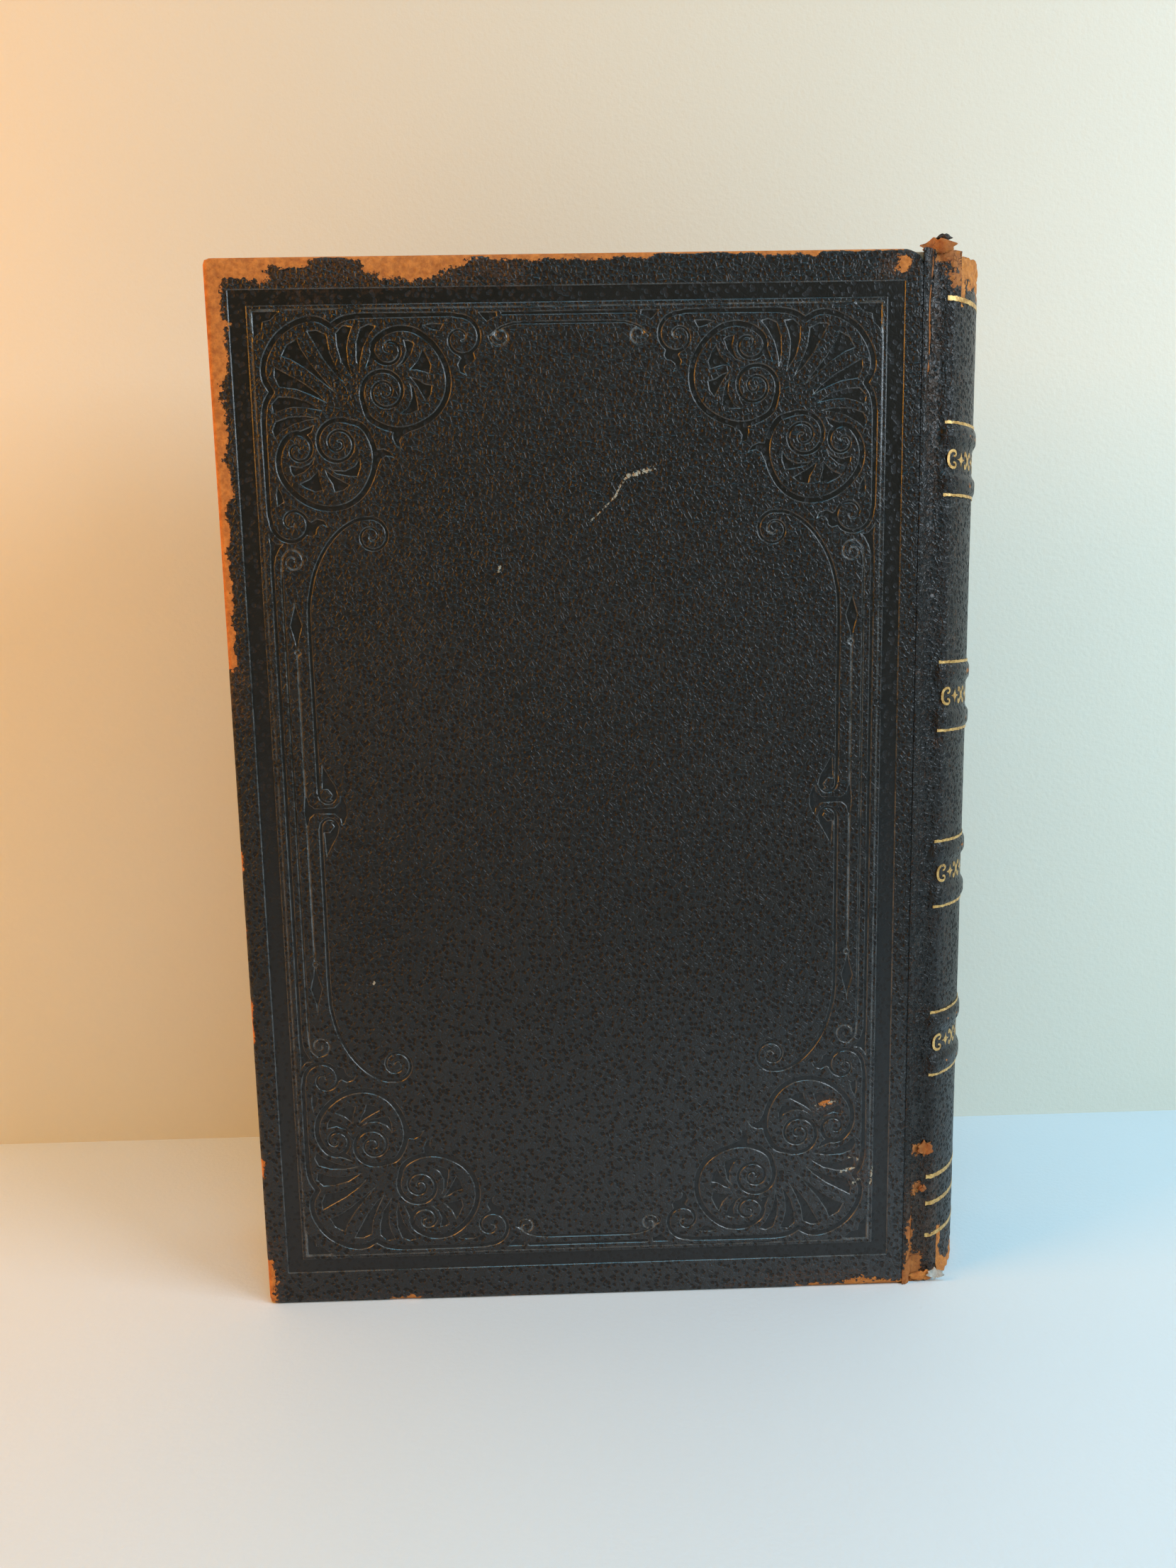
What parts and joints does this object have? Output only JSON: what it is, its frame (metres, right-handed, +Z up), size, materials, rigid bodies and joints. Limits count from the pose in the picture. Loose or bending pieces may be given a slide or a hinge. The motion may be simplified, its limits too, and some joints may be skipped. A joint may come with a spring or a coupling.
{
  "type": "prayer book",
  "caption": "Tall black leather prayer book with blind-tooled covers, a rounded spine with raised bands, and gatherings that fan as the covers open.",
  "frame": {"origin": "middle of the rectangle that the closed book stands on, at the level of its tail edges", "axes": "+X from the fore edge to the spine, -Y towards the back cover, +Z up to the head"},
  "size_m": [0.1722, 0.04, 0.24],
  "materials": {
    "leather": "pebble-grained black leather, dressed, satin",
    "joint_leather": "black leather, creased and cracked at the joint",
    "worn_leather": "raw orange-brown leather where the black surface is worn off",
    "board": "dense pulp board, matt",
    "kraft_paper": "brown lining paper, matt",
    "mull": "open stiffened cotton mull",
    "end_band": "worked thread band in two colours",
    "cord": "hemp cord",
    "thread": "linen thread",
    "paper": "aged book paper, matt",
    "endpaper": "plain aged endpaper",
    "gilt": "gold leaf tooled into the leather"
  },
  "bodies": {
    "spine": {"spine_leather": "leather", "back_joint_leather": "joint_leather", "front_joint_leather": "joint_leather", "spine_card": "board", "hollow_tube": "kraft_paper", "mull_lining": "mull", "raised_band_1": "board", "raised_band_2": "board", "raised_band_3": "board", "raised_band_4": "board", "head_band": "end_band", "tail_band": "end_band", "head_cap": "worn_leather", "tail_cap": "worn_leather", "sewing_cords": "cord", "sewing_thread": "thread", "sewn_folds": "paper", "gilt_rules": "gilt"},
    "back_cover": {"back_board": "board", "back_leather": "leather", "back_pastedown": "endpaper"},
    "front_cover": {"front_board": "board", "front_leather": "leather", "front_pastedown": "endpaper"},
    "back_leaves_1": {"back_gathering_1": "paper"},
    "back_leaves_2": {"back_gathering_2": "paper"},
    "back_leaves_3": {"back_gathering_3": "paper"},
    "back_leaves_4": {"back_gathering_4": "paper"},
    "back_leaves_5": {"back_gathering_5": "paper"},
    "back_leaves_6": {"back_gathering_6": "paper"},
    "back_leaves_7": {"back_gathering_7": "paper"},
    "back_leaves_8": {"back_gathering_8": "paper"},
    "back_flyleaf": {"back_endpaper": "endpaper"},
    "front_leaves_1": {"front_gathering_1": "paper"},
    "front_leaves_2": {"front_gathering_2": "paper"},
    "front_leaves_3": {"front_gathering_3": "paper"},
    "front_leaves_4": {"front_gathering_4": "paper"},
    "front_leaves_5": {"front_gathering_5": "paper"},
    "front_leaves_6": {"front_gathering_6": "paper"},
    "front_leaves_7": {"front_gathering_7": "paper"},
    "front_leaves_8": {"front_gathering_8": "paper"},
    "front_flyleaf": {"front_endpaper": "endpaper"}
  },
  "joints": [
    {"name": "back_cover_hinge", "type": "hinge", "parent": "spine", "child": "back_cover", "pos_m": [0.07035, -0.02, 0], "axis": [0, 0, 1], "range_deg": [0, 180], "deforming": ["back_joint_leather"]},
    {"name": "back_leaf_turn_1", "type": "hinge", "parent": "spine", "child": "back_leaves_1", "pos_m": [0.06424, -0.00195, 0], "axis": [0, 0, 1], "range_deg": [0, 10]},
    {"name": "back_leaf_turn_2", "type": "hinge", "parent": "spine", "child": "back_leaves_2", "pos_m": [0.06439, -0.00391, 0], "axis": [0, 0, 1], "range_deg": [0, 20]},
    {"name": "back_leaf_turn_3", "type": "hinge", "parent": "spine", "child": "back_leaves_3", "pos_m": [0.06479, -0.00587, 0], "axis": [0, 0, 1], "range_deg": [0, 30]},
    {"name": "back_leaf_turn_4", "type": "hinge", "parent": "spine", "child": "back_leaves_4", "pos_m": [0.06539, -0.00783, 0], "axis": [0, 0, 1], "range_deg": [0, 40]},
    {"name": "back_leaf_turn_5", "type": "hinge", "parent": "spine", "child": "back_leaves_5", "pos_m": [0.06619, -0.00979, 0], "axis": [0, 0, 1], "range_deg": [0, 50]},
    {"name": "back_leaf_turn_6", "type": "hinge", "parent": "spine", "child": "back_leaves_6", "pos_m": [0.06719, -0.01175, 0], "axis": [0, 0, 1], "range_deg": [0, 60]},
    {"name": "back_leaf_turn_7", "type": "hinge", "parent": "spine", "child": "back_leaves_7", "pos_m": [0.0684, -0.01371, 0], "axis": [0, 0, 1], "range_deg": [0, 70]},
    {"name": "back_leaf_turn_8", "type": "hinge", "parent": "spine", "child": "back_leaves_8", "pos_m": [0.06985, -0.01567, 0], "axis": [0, 0, 1], "range_deg": [0, 80]},
    {"name": "back_flyleaf_turn", "type": "hinge", "parent": "spine", "child": "back_flyleaf", "pos_m": [0.07035, -0.01593, 0], "axis": [0, 0, 1], "range_deg": [0, 90]},
    {"name": "front_cover_hinge", "type": "hinge", "parent": "spine", "child": "front_cover", "pos_m": [0.07035, 0.02, 0], "axis": [0, 0, -1], "range_deg": [0, 180], "deforming": ["front_joint_leather"]},
    {"name": "front_leaf_turn_1", "type": "hinge", "parent": "spine", "child": "front_leaves_1", "pos_m": [0.06424, 0.00195, 0], "axis": [0, 0, -1], "range_deg": [0, 10]},
    {"name": "front_leaf_turn_2", "type": "hinge", "parent": "spine", "child": "front_leaves_2", "pos_m": [0.06439, 0.00391, 0], "axis": [0, 0, -1], "range_deg": [0, 20]},
    {"name": "front_leaf_turn_3", "type": "hinge", "parent": "spine", "child": "front_leaves_3", "pos_m": [0.06479, 0.00587, 0], "axis": [0, 0, -1], "range_deg": [0, 30]},
    {"name": "front_leaf_turn_4", "type": "hinge", "parent": "spine", "child": "front_leaves_4", "pos_m": [0.06539, 0.00783, 0], "axis": [0, 0, -1], "range_deg": [0, 40]},
    {"name": "front_leaf_turn_5", "type": "hinge", "parent": "spine", "child": "front_leaves_5", "pos_m": [0.06619, 0.00979, 0], "axis": [0, 0, -1], "range_deg": [0, 50]},
    {"name": "front_leaf_turn_6", "type": "hinge", "parent": "spine", "child": "front_leaves_6", "pos_m": [0.06719, 0.01175, 0], "axis": [0, 0, -1], "range_deg": [0, 60]},
    {"name": "front_leaf_turn_7", "type": "hinge", "parent": "spine", "child": "front_leaves_7", "pos_m": [0.0684, 0.01371, 0], "axis": [0, 0, -1], "range_deg": [0, 70]},
    {"name": "front_leaf_turn_8", "type": "hinge", "parent": "spine", "child": "front_leaves_8", "pos_m": [0.06985, 0.01567, 0], "axis": [0, 0, -1], "range_deg": [0, 80]},
    {"name": "front_flyleaf_turn", "type": "hinge", "parent": "spine", "child": "front_flyleaf", "pos_m": [0.07035, 0.01593, 0], "axis": [0, 0, -1], "range_deg": [0, 90]}
  ],
  "couplings": [
    {"joint": "back_leaf_turn_1", "follows": "back_cover_hinge", "ratio": 0.055555},
    {"joint": "back_leaf_turn_2", "follows": "back_cover_hinge", "ratio": 0.11111},
    {"joint": "back_leaf_turn_3", "follows": "back_cover_hinge", "ratio": 0.16667},
    {"joint": "back_leaf_turn_4", "follows": "back_cover_hinge", "ratio": 0.22222},
    {"joint": "back_leaf_turn_5", "follows": "back_cover_hinge", "ratio": 0.27778},
    {"joint": "back_leaf_turn_6", "follows": "back_cover_hinge", "ratio": 0.33333},
    {"joint": "back_leaf_turn_7", "follows": "back_cover_hinge", "ratio": 0.38889},
    {"joint": "back_leaf_turn_8", "follows": "back_cover_hinge", "ratio": 0.44444},
    {"joint": "back_flyleaf_turn", "follows": "back_cover_hinge", "ratio": 0.5},
    {"joint": "front_leaf_turn_1", "follows": "front_cover_hinge", "ratio": 0.055555},
    {"joint": "front_leaf_turn_2", "follows": "front_cover_hinge", "ratio": 0.11111},
    {"joint": "front_leaf_turn_3", "follows": "front_cover_hinge", "ratio": 0.16667},
    {"joint": "front_leaf_turn_4", "follows": "front_cover_hinge", "ratio": 0.22222},
    {"joint": "front_leaf_turn_5", "follows": "front_cover_hinge", "ratio": 0.27778},
    {"joint": "front_leaf_turn_6", "follows": "front_cover_hinge", "ratio": 0.33333},
    {"joint": "front_leaf_turn_7", "follows": "front_cover_hinge", "ratio": 0.38889},
    {"joint": "front_leaf_turn_8", "follows": "front_cover_hinge", "ratio": 0.44444},
    {"joint": "front_flyleaf_turn", "follows": "front_cover_hinge", "ratio": 0.5}
  ]
}
